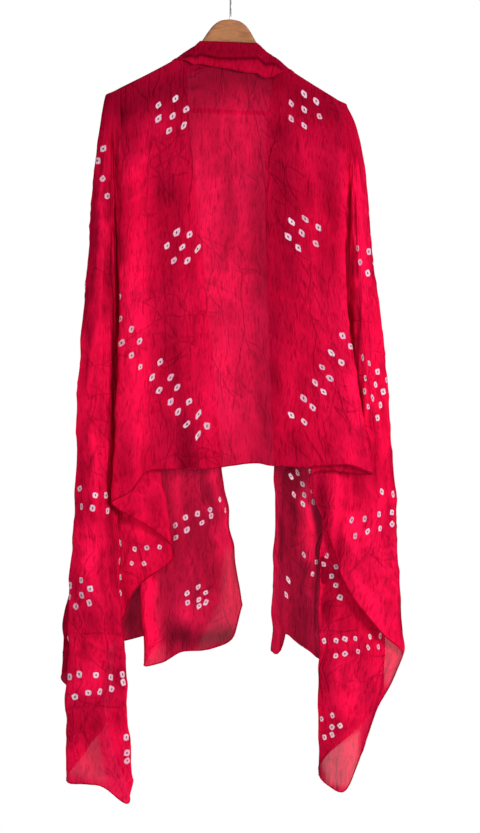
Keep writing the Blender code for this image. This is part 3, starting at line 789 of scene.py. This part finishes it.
def sheer_map():
    sheer = np.full(grid.shape[:2], SHEER_EVERYWHERE)
    for part, outline, share in SHEER_PLACES:
        a, b = column_range(part)
        flat = grid[a : b + 1][:, :, [0, 2]]
        sides = list(zip(outline, outline[1:] + outline[:1]))
        away = np.min([distance_to_line(flat, p, q) for p, q in sides], axis=0)
        inside = np.zeros(away.shape, bool)
        for (x0, z0), (x1, z1) in sides:
            crosses = (flat[..., 1] < z0) != (flat[..., 1] < z1)
            at = x0 + (x1 - x0) * (flat[..., 1] - z0) / (z1 - z0 + 1e-9)
            inside ^= crosses & (flat[..., 0] < at)
        share_inside = smooth_step(0.5 + np.where(inside, away, -away) / SHEER_SOFT)
        sheer[a : b + 1] += share * share_inside
    return sheer


# Painted highlights on the crinkles' crests and painted shade in their troughs.
CREST_AND_TROUGH_PAINTED_LIGHT = 0.10
shade_and_light_tones = painted_shade_and_light() * np.clip(1 + CREST_AND_TROUGH_PAINTED_LIGHT * (rise - rise.mean()), 0.7, 1.3)
sheer_parts = sheer_map()
print("shade_and_light_tones", shade_and_light_tones.min().round(2), "to", shade_and_light_tones.max().round(2), "sheer up to", sheer_parts.max().round(3))

# %% [markdown]
# ## Making the mesh
# The sheet, its collar flap and a thin rolled hem become one mesh. It gets three maps: one that spreads the
# cloth over a square for baking, one with each corner's place on the cloth, and one with its offset from a
# dot.

# %% Gather points, faces and maps
HEM_RADIUS = 1.1
HEM_TONE = 0.7
HEM_SIDES = 6
BAKE_SHARE = 0.96
TALLEST = float(down_cloth.max())
LONGEST = float(along_cloth[-1] - along_cloth[0])


class Gathered:
    """Points and faces of one mesh, with what each face corner carries."""

    def __init__(self):
        self.points, self.faces, self.bake, self.place, self.dot = [], [], [], [], []
        self.tone, self.sheer = [], []


def add_patch(mesh, points, along, down, bake, offsets, tone=1.0, sheer=0.0, flip=False):
    """A grid of quads. along, down, bake, tone and sheer are arrays over its points."""
    columns, rows = points.shape[:2]
    first = sum(len(block) for block in mesh.points)
    mesh.points.append(points.reshape(-1, 3))
    mesh.tone.append((tone + np.zeros((columns, rows))).reshape(-1))
    mesh.sheer.append((sheer + np.zeros((columns, rows))).reshape(-1))
    i, j = np.meshgrid(np.arange(columns - 1), np.arange(rows - 1), indexing="ij")
    order = ((0, 0), (1, 0), (1, 1), (0, 1))
    if flip:
        order = order[::-1]
    index = np.stack([(i + a) * rows + j + b for a, b in order], axis=-1).reshape(-1, 4)
    mesh.faces.append(index + first)
    place = np.stack([along / 1000, down / 1000], axis=-1).reshape(-1, 2)
    mesh.place.append(place[index])
    mesh.bake.append(bake.reshape(-1, 2)[index])
    mesh.dot.append(np.full((len(index), 4, 2), UNSEEN) if offsets is None else offsets.reshape(-1, 4, 2))


def tube(line, radius, sides):
    """A ring of points round each point of a line."""
    ahead = np.gradient(line, axis=0)
    ahead /= np.linalg.norm(ahead, axis=1, keepdims=True) + 1e-9
    side = np.cross(ahead, [0.0, 1.0, 0.0])
    side /= np.linalg.norm(side, axis=1, keepdims=True) + 1e-9
    up = np.cross(side, ahead)
    turns = np.linspace(0, 2 * pi, sides + 1)
    return np.stack([line + radius * (side * cos(t) + up * sin(t)) for t in turns], axis=1)


cloth_parts = Gathered()
share_along = (along_all - along_cloth[0]) / LONGEST
add_patch(
    cloth_parts,
    sheet,
    along_all,
    down_cloth,
    np.stack([share_along * BAKE_SHARE, down_cloth / TALLEST * BAKE_SHARE], axis=-1),
    dots,
    tone=shade_and_light_tones,
    sheer=sheer_parts,
)
flap_share = (flap_along - flap_along[0]) / (flap_along[-1] - flap_along[0])
add_patch(
    cloth_parts,
    flap_sheet,
    flap_place,
    flap_down,
    np.stack([flap_share[:, None] * 0.5 + 0 * flap_down, 0.965 + 0.03 * flap_down / flap_down.max()], axis=-1),
    None,
    tone=flap_painted_shade_and_light,
    flip=True,
)
edges = (
    ("hem", sheet[:, -1], along_cloth, down_cloth[:, -1]),
    ("left edge", sheet[0], np.full(grid.shape[1], along_cloth[0]), down_cloth[0]),
    ("right edge", sheet[-1], np.full(grid.shape[1], along_cloth[-1]), down_cloth[-1]),
    ("collar edge", flap_sheet[:, -1], flap_along + FLAP_APART, flap_down[:, -1]),
)
for number, (name, line, along, down) in enumerate(edges):
    rings = tube(line, HEM_RADIUS, HEM_SIDES)
    share = np.linspace(0, BAKE_SHARE, len(line))[:, None] + 0 * rings[:, :, 0]
    width = 0.965 + 0.008 * number + 0.006 * np.linspace(0, 1, HEM_SIDES + 1)[None, :] + 0 * share
    add_patch(
        cloth_parts,
        rings,
        along[:, None] + 0 * width,
        down[:, None] + 0 * width,
        np.stack([width, share], axis=-1),
        None,
        tone=HEM_TONE,
    )
    print(name, len(line), "points")

# %% Build the cloth object
points = np.concatenate(cloth_parts.points)
faces = np.concatenate(cloth_parts.faces)
mesh = bpy.data.meshes.new("stole")
mesh.from_pydata((points * [MM, MM, -MM]).tolist(), [], faces.tolist())
for name, data in (("OFBake", cloth_parts.bake), ("Place", cloth_parts.place), ("Dot", cloth_parts.dot)):
    layer = mesh.uv_layers.new(name=name)
    layer.data.foreach_set("uv", np.concatenate(data).reshape(-1).astype(np.float32))
# Tone carries the painted shade and highlights of the strokes, the crinkle crests and the collar, and the
# darker hem.
for name, data in (("Tone", cloth_parts.tone), ("Sheer", cloth_parts.sheer)):
    attribute = mesh.attributes.new(name, "FLOAT", "POINT")
    attribute.data.foreach_set("value", np.concatenate(data).astype(np.float32))
bm = bmesh.new()
bm.from_mesh(mesh)
bmesh.ops.remove_doubles(bm, verts=bm.verts, dist=0.00002)
bmesh.ops.dissolve_degenerate(bm, edges=bm.edges, dist=0.00001)
bm.to_mesh(mesh)
bm.free()
mesh.shade_smooth()
stole = bpy.data.objects.new("stole", mesh)
bpy.context.scene.collection.objects.link(stole)
print("stole:", len(mesh.vertices), "points,", sum(len(f.vertices) - 2 for f in mesh.polygons), "triangles")

# %% [markdown]
# ## Node helpers
# A material is a small network of nodes. These helpers make a node, set its plain values and join its
# sockets, so that each recipe below reads as a list of steps. An effect that repeats becomes a node group
# with named sockets.

# %% Helpers for node networks
def node(tree, kind, inputs=None, **settings):
    made = tree.nodes.new(kind)
    for name, value in settings.items():
        setattr(made, name, value)
    for name, value in (inputs or {}).items():
        if isinstance(value, bpy.types.NodeSocket):
            tree.links.new(value, made.inputs[name])
        else:
            made.inputs[name].default_value = value
    return made


def maths(tree, operation, a, b=0.0, c=0.0):
    return node(tree, "ShaderNodeMath", {0: a, 1: b, 2: c}, operation=operation).outputs[0]


def ramp(tree, value, low, high, out_low=0.0, out_high=1.0):
    """value carried from low..high to out_low..out_high with soft ends."""
    wanted = {"Value": value, "From Min": low, "From Max": high, "To Min": out_low, "To Max": out_high}
    return node(tree, "ShaderNodeMapRange", wanted, interpolation_type="SMOOTHSTEP").outputs[0]


def blend_colour(tree, share, a, b):
    mixed = node(tree, "ShaderNodeMix", data_type="RGBA")
    colour_in = [s for s in mixed.inputs if s.type == "RGBA"]
    factor = [s for s in mixed.inputs if s.type == "VALUE" and s.enabled][0]
    for socket, value in ((factor, share), (colour_in[0], a), (colour_in[1], b)):
        if isinstance(value, bpy.types.NodeSocket):
            tree.links.new(value, socket)
        else:
            socket.default_value = value
    return [s for s in mixed.outputs if s.type == "RGBA"][0]


def new_group(name, inputs, outputs):
    tree = bpy.data.node_groups.new(name, "ShaderNodeTree")
    for label, kind, value in inputs:
        socket = tree.interface.new_socket(label, in_out="INPUT", socket_type="NodeSocket" + kind)
        if value is not None:
            socket.default_value = value
    for label, kind in outputs:
        tree.interface.new_socket(label, in_out="OUTPUT", socket_type="NodeSocket" + kind)
    return tree, tree.nodes.new("NodeGroupInput"), tree.nodes.new("NodeGroupOutput")


def use_group(tree, group, inputs):
    return node(tree, "ShaderNodeGroup", inputs, node_tree=group)


def new_material(name):
    material = bpy.data.materials.new(name)
    material.use_nodes = True
    tree = material.node_tree
    return material, tree, tree.nodes["Principled BSDF"]


# %% [markdown]
# ## The crepe group
# Fine crinkles are too small for the mesh, so they are a height for a Bump node. They are noise in the
# cloth's own place map, squeezed across and stretched down, so they run down each fold. The same height
# darkens the dye in the troughs a little, because light reaches them less.

# %% Group: crepe
CREPE, group_in, group_out = new_group(
    "Crepe",
    (("Place", "Vector", None), ("Across", "Float", 170.0), ("Down", "Float", 34.0), ("Twist", "Float", 0.35)),
    (("Height", "Float"), ("Tone", "Float")),
)
sizes = {0: group_in.outputs["Across"], 1: group_in.outputs["Down"], 2: 1.0}
scale = node(CREPE, "ShaderNodeCombineXYZ", sizes)
spread = node(
    CREPE, "ShaderNodeVectorMath", {0: group_in.outputs["Place"], 1: scale.outputs[0]}, operation="MULTIPLY"
).outputs[0]
wide = node(
    CREPE,
    "ShaderNodeTexNoise",
    {"Vector": spread, "Scale": 1.0, "Detail": 3.0, "Roughness": 0.55, "Distortion": group_in.outputs["Twist"]},
).outputs["Fac"]
ridges = maths(CREPE, "ABSOLUTE", maths(CREPE, "SUBTRACT", wide, 0.5))
fine = node(
    CREPE,
    "ShaderNodeTexNoise",
    {"Vector": spread, "Scale": 3.1, "Detail": 4.0, "Roughness": 0.6, "Distortion": 0.6},
).outputs["Fac"]
height = maths(CREPE, "ADD", maths(CREPE, "MULTIPLY", ridges, -2.6), maths(CREPE, "MULTIPLY", fine, 0.7))
CREPE.links.new(height, group_out.inputs["Height"])
tone = ramp(CREPE, height, -0.35, 0.45)
CREPE.links.new(tone, group_out.inputs["Tone"])

# %% [markdown]
# ## The long-crease group
# The cloth was folded small and then dried in twists, so long thin creases run over it, mostly down and a
# little askew. The borders between stretched Voronoi cells make such lines. Noise bends them and rubs most
# of them out.

# %% Group: long creases
LINES, group_in, group_out = new_group(
    "Long creases",
    (
        ("Place", "Vector", None),
        ("Across", "Float", 16.0),
        ("Down", "Float", 4.0),
        ("Lean", "Float", 0.0),
        ("Rare", "Float", 0.5),
    ),
    (("Line", "Float"),),
)
bend = node(LINES, "ShaderNodeTexNoise", {"Vector": group_in.outputs["Place"], "Scale": 11.0, "Detail": 2.0})
bend = node(LINES, "ShaderNodeVectorMath", {0: bend.outputs["Color"], "Scale": 0.05}, operation="SCALE")
bent = node(LINES, "ShaderNodeVectorMath", {0: group_in.outputs["Place"], 1: bend.outputs[0]}, operation="ADD")
turning = {"Vector": bent.outputs[0], "Angle": group_in.outputs["Lean"]}
leaning = node(LINES, "ShaderNodeVectorRotate", turning, rotation_type="Z_AXIS")
sizes = {0: group_in.outputs["Across"], 1: group_in.outputs["Down"], 2: 1.0}
scale = node(LINES, "ShaderNodeCombineXYZ", sizes)
spread = node(LINES, "ShaderNodeVectorMath", {0: leaning.outputs[0], 1: scale.outputs[0]}, operation="MULTIPLY")
cells = node(
    LINES,
    "ShaderNodeTexVoronoi",
    {"Vector": spread.outputs[0], "Scale": 1.0},
    voronoi_dimensions="2D",
    feature="DISTANCE_TO_EDGE",
)
patches = node(LINES, "ShaderNodeTexNoise", {"Vector": bent.outputs[0], "Scale": 13.0, "Detail": 1.0})
kept = maths(LINES, "SUBTRACT", patches.outputs["Fac"], group_in.outputs["Rare"])
kept = ramp(LINES, kept, -0.04, 0.08)
line = maths(LINES, "MULTIPLY", ramp(LINES, cells.outputs["Distance"], 0.05, 0.0), kept)
LINES.links.new(line, group_out.inputs["Line"])

# %% [markdown]
# ## The tied-dot group
# Each dot is a rounded square, pale where the thread kept the dye out, with a dark eye in its middle. The
# group reads the map of offsets, bends it a little with noise so no two dots are alike, and gives masks for
# both.

# %% Group: tied dot
SQUARENESS = 3.2
DOT, group_in, group_out = new_group(
    "Tied dot",
    (("Offset", "Vector", None), ("Place", "Vector", None), ("Radius", "Float", 5.2), ("Eye", "Float", 1.9)),
    (("Pale", "Float"), ("Eye", "Float"), ("Pucker", "Float")),
)
bend = node(DOT, "ShaderNodeTexNoise", {"Vector": group_in.outputs["Place"], "Scale": 160.0, "Detail": 2.0})
bend = node(DOT, "ShaderNodeVectorMath", {0: bend.outputs["Color"], 1: (0.5, 0.5, 0.5)}, operation="SUBTRACT")
bend = node(DOT, "ShaderNodeVectorMath", {0: bend.outputs[0], "Scale": 3.4}, operation="SCALE")
offset = node(DOT, "ShaderNodeVectorMath", {0: group_in.outputs["Offset"], "Scale": 100.0}, operation="SCALE")
offset = node(DOT, "ShaderNodeVectorMath", {0: offset.outputs[0], 1: bend.outputs[0]}, operation="ADD")
parts = node(DOT, "ShaderNodeSeparateXYZ", {0: offset.outputs[0]})
powers = [maths(DOT, "POWER", maths(DOT, "ABSOLUTE", parts.outputs[k]), SQUARENESS) for k in (0, 1)]
away = maths(DOT, "POWER", maths(DOT, "ADD", powers[0], powers[1]), 1 / SQUARENESS)
edge = maths(DOT, "SUBTRACT", away, group_in.outputs["Radius"])
DOT.links.new(ramp(DOT, edge, 0.5, -0.6), group_out.inputs["Pale"])
eye_across = maths(DOT, "MULTIPLY", parts.outputs[0], 1.25)
eye_down = maths(DOT, "MULTIPLY", parts.outputs[1], 0.85)
eye_away = maths(
    DOT, "SQRT", maths(DOT, "ADD", maths(DOT, "POWER", eye_across, 2.0), maths(DOT, "POWER", eye_down, 2.0))
)
DOT.links.new(
    ramp(DOT, maths(DOT, "SUBTRACT", eye_away, group_in.outputs["Eye"]), 0.5, -0.6), group_out.inputs["Eye"]
)
DOT.links.new(ramp(DOT, away, 9.0, 0.0), group_out.inputs["Pucker"])

# %% [markdown]
# ## Red cotton
# The cloth is thin: some light comes straight through it, stained by the dye. A share of Transmission with
# no bending of the light does that, so a second layer behind makes the red deeper, as in the real thing.

# %% Material: red cotton
BRIGHT_RED = (0.70, 0.005, 0.052, 1)
DEEP_RED = (0.60, 0.003, 0.036, 1)
TROUGH_PAINTED_SHADE_RED = (0.50, 0.002, 0.027, 1)
UNDYED = ((0.80, 0.42, 0.54, 1), (0.88, 0.68, 0.77, 1))
EYE_COLOUR = (0.30, 0.07, 0.20, 1)
CREASE_SIZES = (
    {"Across": 24.0, "Down": 4.5, "Lean": 0.0, "Rare": 0.46},
    {"Across": 22.0, "Down": 6.0, "Lean": 0.75, "Rare": 0.52},
    {"Across": 7.0, "Down": 24.0, "Lean": -0.15, "Rare": 0.55},
)
red, tree, shader = new_material("red_cotton")
place = node(tree, "ShaderNodeUVMap", uv_map="Place").outputs[0]
offset = node(tree, "ShaderNodeUVMap", uv_map="Dot").outputs[0]
crepe = use_group(tree, CREPE, {"Place": place})
dot = use_group(tree, DOT, {"Offset": offset, "Place": place})
clouds = node(tree, "ShaderNodeTexNoise", {"Vector": place, "Scale": 6.0, "Detail": 3.0, "Roughness": 0.5})
dye = blend_colour(tree, ramp(tree, clouds.outputs["Fac"], 0.3, 0.7), DEEP_RED, BRIGHT_RED)
# Painted shade: the crepe's troughs get a deeper red and a lower tone.
dye = blend_colour(tree, crepe.outputs["Tone"], TROUGH_PAINTED_SHADE_RED, dye)
# The Tone attribute brings in the painted shade and highlights set on the mesh.
tone = node(tree, "ShaderNodeAttribute", attribute_name="Tone").outputs["Fac"]
tone = maths(tree, "MULTIPLY", tone, maths(tree, "MULTIPLY_ADD", crepe.outputs["Tone"], 0.24, 0.87))
lines = [use_group(tree, LINES, {"Place": place, **sizes}).outputs["Line"] for sizes in CREASE_SIZES]
line = maths(tree, "MAXIMUM", maths(tree, "MAXIMUM", lines[0], lines[1]), lines[2])
# Painted shade: the long crease lines darken the red as well as dent the bump.
tone = maths(tree, "MULTIPLY", tone, maths(tree, "MULTIPLY_ADD", line, -0.13, 1.02))
dye = node(tree, "ShaderNodeVectorMath", {0: dye, "Scale": tone}, operation="SCALE").outputs[0]
rinsed = node(tree, "ShaderNodeTexNoise", {"Vector": place, "Scale": 23.0}).outputs["Fac"]
rinsed = ramp(tree, rinsed, 0.35, 0.65)
undyed = blend_colour(tree, rinsed, *UNDYED)
pale = blend_colour(tree, dot.outputs["Pale"], dye, undyed)
colour = blend_colour(tree, dot.outputs["Eye"], pale, EYE_COLOUR)
tree.links.new(colour, shader.inputs["Base Color"])
height = maths(tree, "ADD", crepe.outputs["Height"], maths(tree, "MULTIPLY", dot.outputs["Pucker"], 0.8))
height = maths(tree, "SUBTRACT", height, maths(tree, "MULTIPLY", line, 1.5))
bump = node(tree, "ShaderNodeBump", {"Height": height, "Strength": 0.7, "Distance": 0.0014})
tree.links.new(bump.outputs[0], shader.inputs["Normal"])
shader.inputs["Roughness"].default_value = 0.8
shader.inputs["IOR"].default_value = 1.0
shader.inputs["Transmission Weight"].default_value = 0.05
sheer = node(tree, "ShaderNodeAttribute", attribute_name="Sheer").outputs["Fac"]
solid = maths(tree, "SUBTRACT", 1.0, sheer)
tree.links.new(solid, shader.inputs["Alpha"])
stole.data.materials.append(red)

# %% [markdown]
# ## Wood
# The hanger is a pale tan hardwood under a satin varnish. Its figure is noise drawn out along the grain.

# %% Group and material: wood
GRAIN, group_in, group_out = new_group(
    "Wood grain",
    (
        ("Place", "Vector", None),
        ("Dark", "Color", (0.33, 0.12, 0.045, 1)),
        ("Light", "Color", (0.50, 0.21, 0.085, 1)),
    ),
    (("Color", "Color"), ("Height", "Float")),
)
streaks = node(
    GRAIN, "ShaderNodeVectorMath", {0: group_in.outputs["Place"], 1: (18.0, 60.0, 90.0)}, operation="MULTIPLY"
)
figure = node(
    GRAIN,
    "ShaderNodeTexNoise",
    {"Vector": streaks.outputs[0], "Scale": 1.0, "Detail": 5.0, "Roughness": 0.6, "Distortion": 1.4},
).outputs["Fac"]
pores = node(
    GRAIN, "ShaderNodeTexNoise", {"Vector": streaks.outputs[0], "Scale": 9.0, "Detail": 3.0, "Roughness": 0.5}
).outputs["Fac"]
mixed = maths(GRAIN, "ADD", maths(GRAIN, "MULTIPLY", figure, 0.75), maths(GRAIN, "MULTIPLY", pores, 0.25))
GRAIN.links.new(
    blend_colour(GRAIN, ramp(GRAIN, mixed, 0.35, 0.65), group_in.outputs["Dark"], group_in.outputs["Light"]),
    group_out.inputs["Color"],
)
GRAIN.links.new(mixed, group_out.inputs["Height"])

wood, tree, shader = new_material("wood")
where = node(tree, "ShaderNodeTexCoord").outputs["Object"]
grain = use_group(tree, GRAIN, {"Place": where})
tree.links.new(grain.outputs["Color"], shader.inputs["Base Color"])
bump = node(tree, "ShaderNodeBump", {"Height": grain.outputs["Height"], "Strength": 0.2, "Distance": 0.0006})
tree.links.new(bump.outputs[0], shader.inputs["Normal"])
tree.links.new(ramp(tree, grain.outputs["Height"], 0.3, 0.7, 0.52, 0.36), shader.inputs["Roughness"])
for name in ("hanger", "trouser_bar"):
    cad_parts[name].data.materials[0] = wood

# %% [markdown]
# ## Steel wire
# The hook is bright plated wire. Rubbed spots keep it from looking like plastic.

# %% Material: steel
steel, tree, shader = new_material("steel")
where = node(tree, "ShaderNodeTexCoord").outputs["Object"]
rubbed = node(tree, "ShaderNodeTexNoise", {"Vector": where, "Scale": 220.0, "Detail": 4.0}).outputs["Fac"]
tree.links.new(ramp(tree, rubbed, 0.3, 0.7, 0.22, 0.42), shader.inputs["Roughness"])
tree.links.new(
    blend_colour(tree, rubbed, (0.52, 0.52, 0.53, 1), (0.72, 0.72, 0.73, 1)), shader.inputs["Base Color"]
)
shader.inputs["Metallic"].default_value = 1.0
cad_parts["hook"].data.materials[0] = steel

# %% [markdown]
# ## Light and surroundings
# The photograph is bright and nearly shadowless, on pure white. A pale round floor lies below the object,
# out of the camera's view, and the sky is white to the eye but dimmer as a light, so the folds keep their
# shape. One broad lamp stands in front, a little to the right, and a weaker one to the left.

# %% A pale floor
FLOOR_DROP = 1.8
FLOOR_RADIUS = 1.25
floor_bm = bmesh.new()
bmesh.ops.create_circle(floor_bm, cap_ends=True, segments=96, radius=FLOOR_RADIUS)
floor_mesh = bpy.data.meshes.new("floor")
floor_bm.to_mesh(floor_mesh)
floor_bm.free()
floor = bpy.data.objects.new("floor", floor_mesh)
floor.location = (0, 0, -FLOOR_DROP)
bpy.context.scene.collection.objects.link(floor)
paper, tree, shader = new_material("paper")
shader.inputs["Base Color"].default_value = (0.85, 0.85, 0.85, 1)
shader.inputs["Roughness"].default_value = 1.0
floor.data.materials.append(paper)

# %% Lamps and sky
SKY_LIGHT = 0.36


def lamp(name, place, aim, size, power):
    data = bpy.data.lights.new(name, "AREA")
    data.shape = "SQUARE"
    data.size = size
    data.energy = power
    made = bpy.data.objects.new(name, data)
    made.location = place
    made.rotation_euler = (Vector(aim) - Vector(place)).to_track_quat("-Z", "Y").to_euler()
    made.visible_camera = False
    made.visible_transmission = False
    bpy.context.scene.collection.objects.link(made)
    return made


lamp("key", (2.3, -2.3, -0.2), (0, 0, -0.75), 1.1, 78)
lamp("fill", (-2.0, -2.6, -0.9), (0, 0, -0.8), 2.0, 20)
lamp("back", (0.6, 2.8, 0.2), (0, 0, -0.7), 2.0, 40)
world = bpy.data.worlds.new("white room")
bpy.context.scene.world = world
world.use_nodes = True
tree = world.node_tree
path = node(tree, "ShaderNodeLightPath")
seen = maths(tree, "MAXIMUM", path.outputs["Is Camera Ray"], path.outputs["Is Transmission Ray"])
sky = tree.nodes["Background"]
sky.inputs["Color"].default_value = (1, 1, 1, 1)
strength = maths(tree, "ADD", maths(tree, "MULTIPLY", seen, 1 - SKY_LIGHT), SKY_LIGHT)
tree.links.new(strength, sky.inputs["Strength"])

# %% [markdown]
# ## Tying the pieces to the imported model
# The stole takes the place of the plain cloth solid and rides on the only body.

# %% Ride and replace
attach(stole, "root")
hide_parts("cloth")
